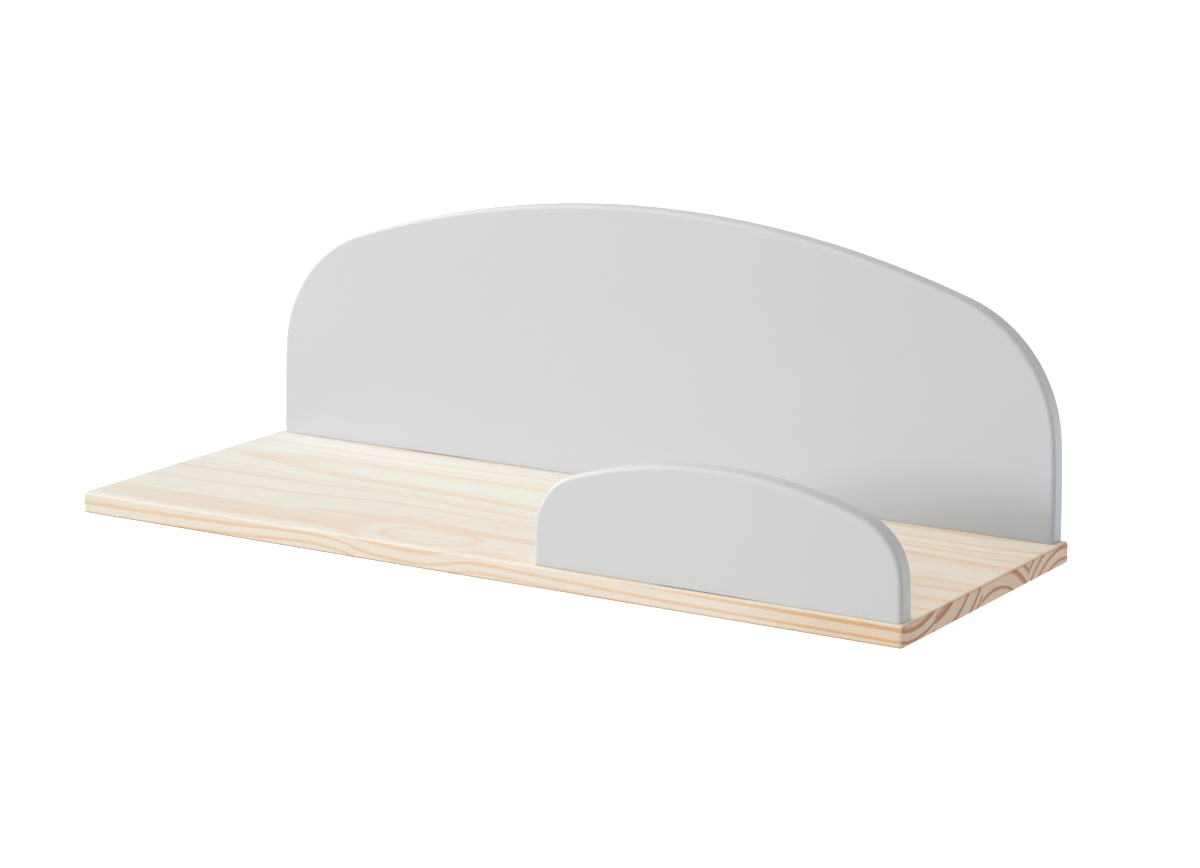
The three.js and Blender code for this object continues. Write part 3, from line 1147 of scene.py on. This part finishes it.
def pine_colour(tree, share, late, masks):
    """Early and late wood by face, warmer and lighter to the right (painted light), and pale arrises
    (wear and painted highlight).
    """
    edge_share = ramp(tree, share, *PINE_EDGE_DRIFT)
    early_tones = (PINE_TOP, PINE_EDGE, PINE_END)
    late_tones = (PINE_TOP_LATE, PINE_EDGE_LATE, PINE_END_LATE)
    shades = []
    for top, edge, end in (early_tones, late_tones):
        # Along the board the colour is partly the wood's tone and partly painted light, lighter where
        # less lamp light falls.
        top_shade = blend(tree, share, *top)
        edge_shade = blend(tree, share, *edge[:2])
        edge_shade = blend(tree, edge_share, edge_shade, edge[2])
        shade = blend(tree, masks["flat"], edge_shade, top_shade)
        shades.append(blend(tree, masks["end"], shade, blend(tree, share, *end)))
    # Pale upper arrises: partly sanding, partly a painted highlight.
    worn_and_sheen = times(tree, masks["worn_and_sheen"], PINE_WORN_AND_SHEEN_AMOUNT)
    return blend(tree, worn_and_sheen, blend(tree, late, *shades), PINE_WORN_AND_SHEEN)


def tinted(tree, colour, tints):
    """Multiply a colour by each tint, given as a mask, an amount and a shade."""
    for mask, amount, shade in tints:
        colour = blend(tree, times(tree, mask, amount), colour, shade, "MULTIPLY")
    return colour


def make_pine(fibres):
    """Edge-glued pine: growth rings, fine fibres, a tone per stave, sanded arrises, and painted light
    and shade.
    """
    material, tree, shader = new_material("pine")
    sensor = tree.nodes.new("ShaderNodeTexCoord")
    place = sensor.outputs["Object"]
    share, depth, height = board_place(tree, place)
    masks = facing_masks(tree, sensor.outputs["Normal"])
    late, tone = glued_staves(tree, place, share, depth, height)
    late = visible_late_wood(tree, place, late, masks)
    stretched = use_group(tree, fibres, Place=place, Stretch=PINE_FIBRES)
    streaks = stretched["Streaks"]
    clouds = ramp(tree, noise(tree, place, **PINE_CLOUDS), *PINE_CLOUD_SPREAD)
    tints = (
        (clouds, PINE_CLOUD_AMOUNT, PINE_BLUSH),
        (streaks, PINE_STREAK_AMOUNT, PINE_STREAK),
        (stretched["Pores"], PINE_PORE_AMOUNT, PINE_PORE),
        (calc(tree, "ADD", tone, HALF), PINE_STAVE_AMOUNT, PINE_BLUSH),
        # Painted shade on the lower arrises.
        (masks["lower"], 1, PINE_SHADED_LOWER_ARRIS),
        (masks["end_arris"], PINE_END_ARRIS_AMOUNT, PINE_END_ARRIS),
    )
    colour = tinted(tree, pine_colour(tree, share, late, masks), tints)
    roughness = vary(tree, streaks, *PINE_ROUGHNESS)
    dress(tree, shader, colour, roughness, vary(tree, late, streaks, -LATE_WOOD_SINKS), PINE_GRAIN_DEPTH)
    return material


# Paint, zinc and beech

def painted_against_bounce(tree, place, above_foot):
    """Painted light on the back panel's front: a cool tint against the board's warm light, cooler low
    down, most at the right.
    """
    low_down = ramp(tree, above_foot, 0, AGAINST_BOUNCE_REACH, 1, 0)
    cool = blend(tree, board_place(tree, place)[0], *PAINT_LOW_AGAINST_BOUNCE)
    return blend(tree, low_down, PAINT_BACK_AGAINST_BOUNCE, cool)


def painted_joint_shade(tree, x, by_wall):
    """Painted shade in the joint at a panel's foot, darker where the joint stands open."""
    by_guard = calc(tree, "SUBTRACT", 1, by_wall)
    back_gap_shade = times(tree, band(tree, x, *BACK_JOINT_GAP_SHADE), by_wall)
    guard_gap_shade = times(tree, band(tree, x, *GUARD_JOINT_GAP_SHADE), by_guard)
    return blend(tree, calc(tree, "ADD", back_gap_shade, guard_gap_shade), PAINT_JOINT_SHADE, PAINT_JOINT_SHADE_GAP)


def make_paint(mottle):
    """Sprayed satin paint on fibreboard, with painted shade in the joints and painted light on the back
    panel.
    """
    material, tree, shader = new_material("grey_paint")
    sensor = tree.nodes.new("ShaderNodeTexCoord")
    place = sensor.outputs["Object"]
    x, y, z = split(tree, place)
    above_foot = calc(tree, "SUBTRACT", z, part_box("back_panel")[0].z)
    by_wall = ramp(tree, y, *WALL_SIDE)
    faces_room = ramp(tree, split(tree, sensor.outputs["Normal"])[1], *FACES_WALL, 1, 0)
    clouds = use_group(tree, mottle, Place=place, **PAINT_PATCHES)

    colour = blend(tree, clouds["Broad"], PAINT, tint(PAINT, PAINT_CLOUD))
    # Painted light: a cool tint on the back panel's front against the board's warm light.
    against_bounce_share = times(tree, by_wall, faces_room)
    colour = blend(tree, against_bounce_share, colour, painted_against_bounce(tree, place, above_foot))
    # Painted shade in the joint at each panel's foot.
    in_joint_shade = ramp(tree, above_foot, JOINT_SHADE_START, JOINT_SHADE_END, 1, 0)
    colour = blend(tree, in_joint_shade, colour, painted_joint_shade(tree, x, by_wall), "MULTIPLY")
    roughness = vary(tree, clouds["Broad"], *PAINT_ROUGHNESS)
    dress(tree, shader, colour, roughness, clouds["Fine"], PAINT_TEXTURE_DEPTH)
    return material


def make_zinc(mottle):
    """Bright zinc plating, a little cloudy."""
    material, tree, shader = new_material("zinc_steel")
    place = tree.nodes.new("ShaderNodeTexCoord").outputs["Object"]
    clouds = use_group(tree, mottle, Place=place, **ZINC_PATCHES)
    colour = blend(tree, clouds["Broad"], ZINC, ZINC_DULL)
    roughness = vary(tree, clouds["Fine"], *ZINC_ROUGHNESS)
    dress(tree, shader, colour, roughness, clouds["Fine"], ZINC_TEXTURE_DEPTH)
    shader.inputs["Metallic"].default_value = 1
    return material


def make_beech(fibres):
    """Turned beech, with its grain along the dowel."""
    material, tree, shader = new_material("beech")
    place = tree.nodes.new("ShaderNodeTexCoord").outputs["Object"]
    grain = use_group(tree, fibres, Place=place, Stretch=BEECH_FIBRES)
    streaky = times(tree, grain["Streaks"], BEECH_STREAK_AMOUNT)
    colour = blend(tree, streaky, BEECH, tint(BEECH, BEECH_FLECK))
    colour = blend(tree, grain["Pores"], colour, BEECH_FLECK, "MULTIPLY")
    roughness = vary(tree, grain["Streaks"], *BEECH_ROUGHNESS)
    dress(tree, shader, colour, roughness, grain["Streaks"], BEECH_GRAIN_DEPTH)
    return material


# Putting the pieces in place

def finish_piece(piece, material, node):
    """Give a piece its finish, and put it in the place of its CAD node."""
    piece.data.materials.clear()
    piece.data.materials.append(material)
    smooth(piece)
    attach(piece, "root")
    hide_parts(node)


def place_copies(master, nodes, prefix, spot, material):
    """A copy of a piece at each node, named after it."""
    for node in nodes:
        piece = copy_of(master, f"{prefix}_{node}")
        move(piece, spot(node))
        finish_piece(piece, material, node)


fibres = make_fibre_group()
mottle = make_mottle_group()
pine = make_pine(fibres)
paint = make_paint(mottle)
beech = make_beech(fibres)
zinc = make_zinc(mottle)

board = make_board()
cut_foot_fixings(board, BACK_SCREWS + GUARD_SCREWS, BACK_DOWELS + GUARD_DOWELS)
finish_piece(board, pine, "shelf_board")

back_panel = make_panel("arched_back_panel", "back_panel", BACK_ARCH)
cut_foot_fixings(back_panel, BACK_SCREWS, BACK_DOWELS)
for side in SIDES:
    cut_hanger(back_panel, side)
finish_piece(back_panel, paint, "back_panel")

guard = make_panel("arched_front_guard", "front_guard", GUARD_ARCH)
cut_foot_fixings(guard, GUARD_SCREWS, GUARD_DOWELS)
finish_piece(guard, paint, "front_guard")

screw_master = make_screw("screw_master", PANEL_SCREW)
place_copies(screw_master, BACK_SCREWS + GUARD_SCREWS, "countersunk", base_of, zinc)
bpy.data.objects.remove(screw_master)

dowel_low, dowel_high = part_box(BACK_DOWELS[0])
dowel_master = make_dowel("dowel_master", dowel_high.z - dowel_low.z)
place_copies(dowel_master, BACK_DOWELS + GUARD_DOWELS, "fluted", base_of, beech)
bpy.data.objects.remove(dowel_master)

plate_screw_master = make_screw("plate_screw_master", PLATE_SCREW)
tip_forward(plate_screw_master)
left_plate = make_plate("left")
right_plate = copy_of(left_plate, "keyhole_plate_right")
move(right_plate, middle("hanger_plate_right") - middle("hanger_plate_left"))
for side, plate in zip(SIDES, (left_plate, right_plate)):
    finish_piece(plate, zinc, f"hanger_plate_{side}")
    place_copies(plate_screw_master, PLATE_SCREWS[side], "countersunk", back_of, zinc)
bpy.data.objects.remove(plate_screw_master)

# Camera

select_only(None)
bpy.ops.object.camera_add(location=CAMERA_PLACE)
camera = bpy.context.object
level_view = Euler((math.pi / 2 - CAMERA_DIP, 0, CAMERA_TURN)).to_matrix()
camera.rotation_euler = (level_view @ Matrix.Rotation(CAMERA_ROLL, 3, "Z")).to_euler()
camera.data.lens = CAMERA_LENS
camera.data.sensor_width = CAMERA_SENSOR
camera.data.sensor_fit = "HORIZONTAL"
camera.data.clip_end = CAMERA_REACH
bpy.context.scene.camera = camera

# Floor, lamps and background

def shown_directly(tree):
    """1 for what the camera sees, straight, in gloss or through glass, and 0 for light on the object."""
    path = tree.nodes.new("ShaderNodeLightPath")
    most = path.outputs["Is Camera Ray"]
    for kind in ("Is Glossy Ray", "Is Transmission Ray"):
        most = calc(tree, "MAXIMUM", most, path.outputs[kind])
    return most


def make_floor():
    """A floor that the camera sees as white, well below the shelf."""
    select_only(None)
    bpy.ops.mesh.primitive_plane_add(size=FLOOR_SIZE, location=(0, 0, -FLOOR_DROP))
    floor = just_added("floor")
    material, tree, shader = new_material("floor")
    shader.inputs["Base Color"].default_value = FLOOR_COLOUR
    shader.inputs["Roughness"].default_value = FLOOR_ROUGHNESS
    shader.inputs["Emission Color"].default_value = WHITE
    tree.links.new(shown_directly(tree), shader.inputs["Emission Strength"])
    floor.data.materials.append(material)


def softbox(name, turn, height, width, power):
    """A round lamp at the common distance, aimed at the middle of the shelf."""
    turn, height = math.radians(turn), math.radians(height)
    across = math.cos(height)
    aim = Vector(LAMP_AIM)
    towards_lamp = Vector((math.sin(turn) * across, -math.cos(turn) * across, math.sin(height)))
    select_only(None)
    bpy.ops.object.light_add(type="AREA", location=aim + LAMP_DISTANCE * towards_lamp)
    lamp = bpy.context.object
    lamp.name = f"softbox_{name}"
    lamp.rotation_euler = (-towards_lamp).to_track_quat("-Z", "Y").to_euler()
    lamp.data.shape = "DISK"
    lamp.data.size = width
    lamp.data.energy = power


make_floor()
for name, setting in SOFTBOXES.items():
    softbox(name, *setting)

world = bpy.data.worlds.new("studio")
bpy.context.scene.world = world
world.use_nodes = True
sky = world.node_tree
ambient = sky.nodes["Background"]
level = sky.nodes.new("ShaderNodeMapRange")
level.inputs["To Min"].default_value = AMBIENT_LEVEL
level.inputs["To Max"].default_value = BACKGROUND_LEVEL
sky.links.new(shown_directly(sky), level.inputs["Value"])
sky.links.new(level.outputs["Result"], ambient.inputs["Strength"])
ambient.inputs["Color"].default_value = WHITE

bpy.context.scene.view_settings.view_transform = "Standard"
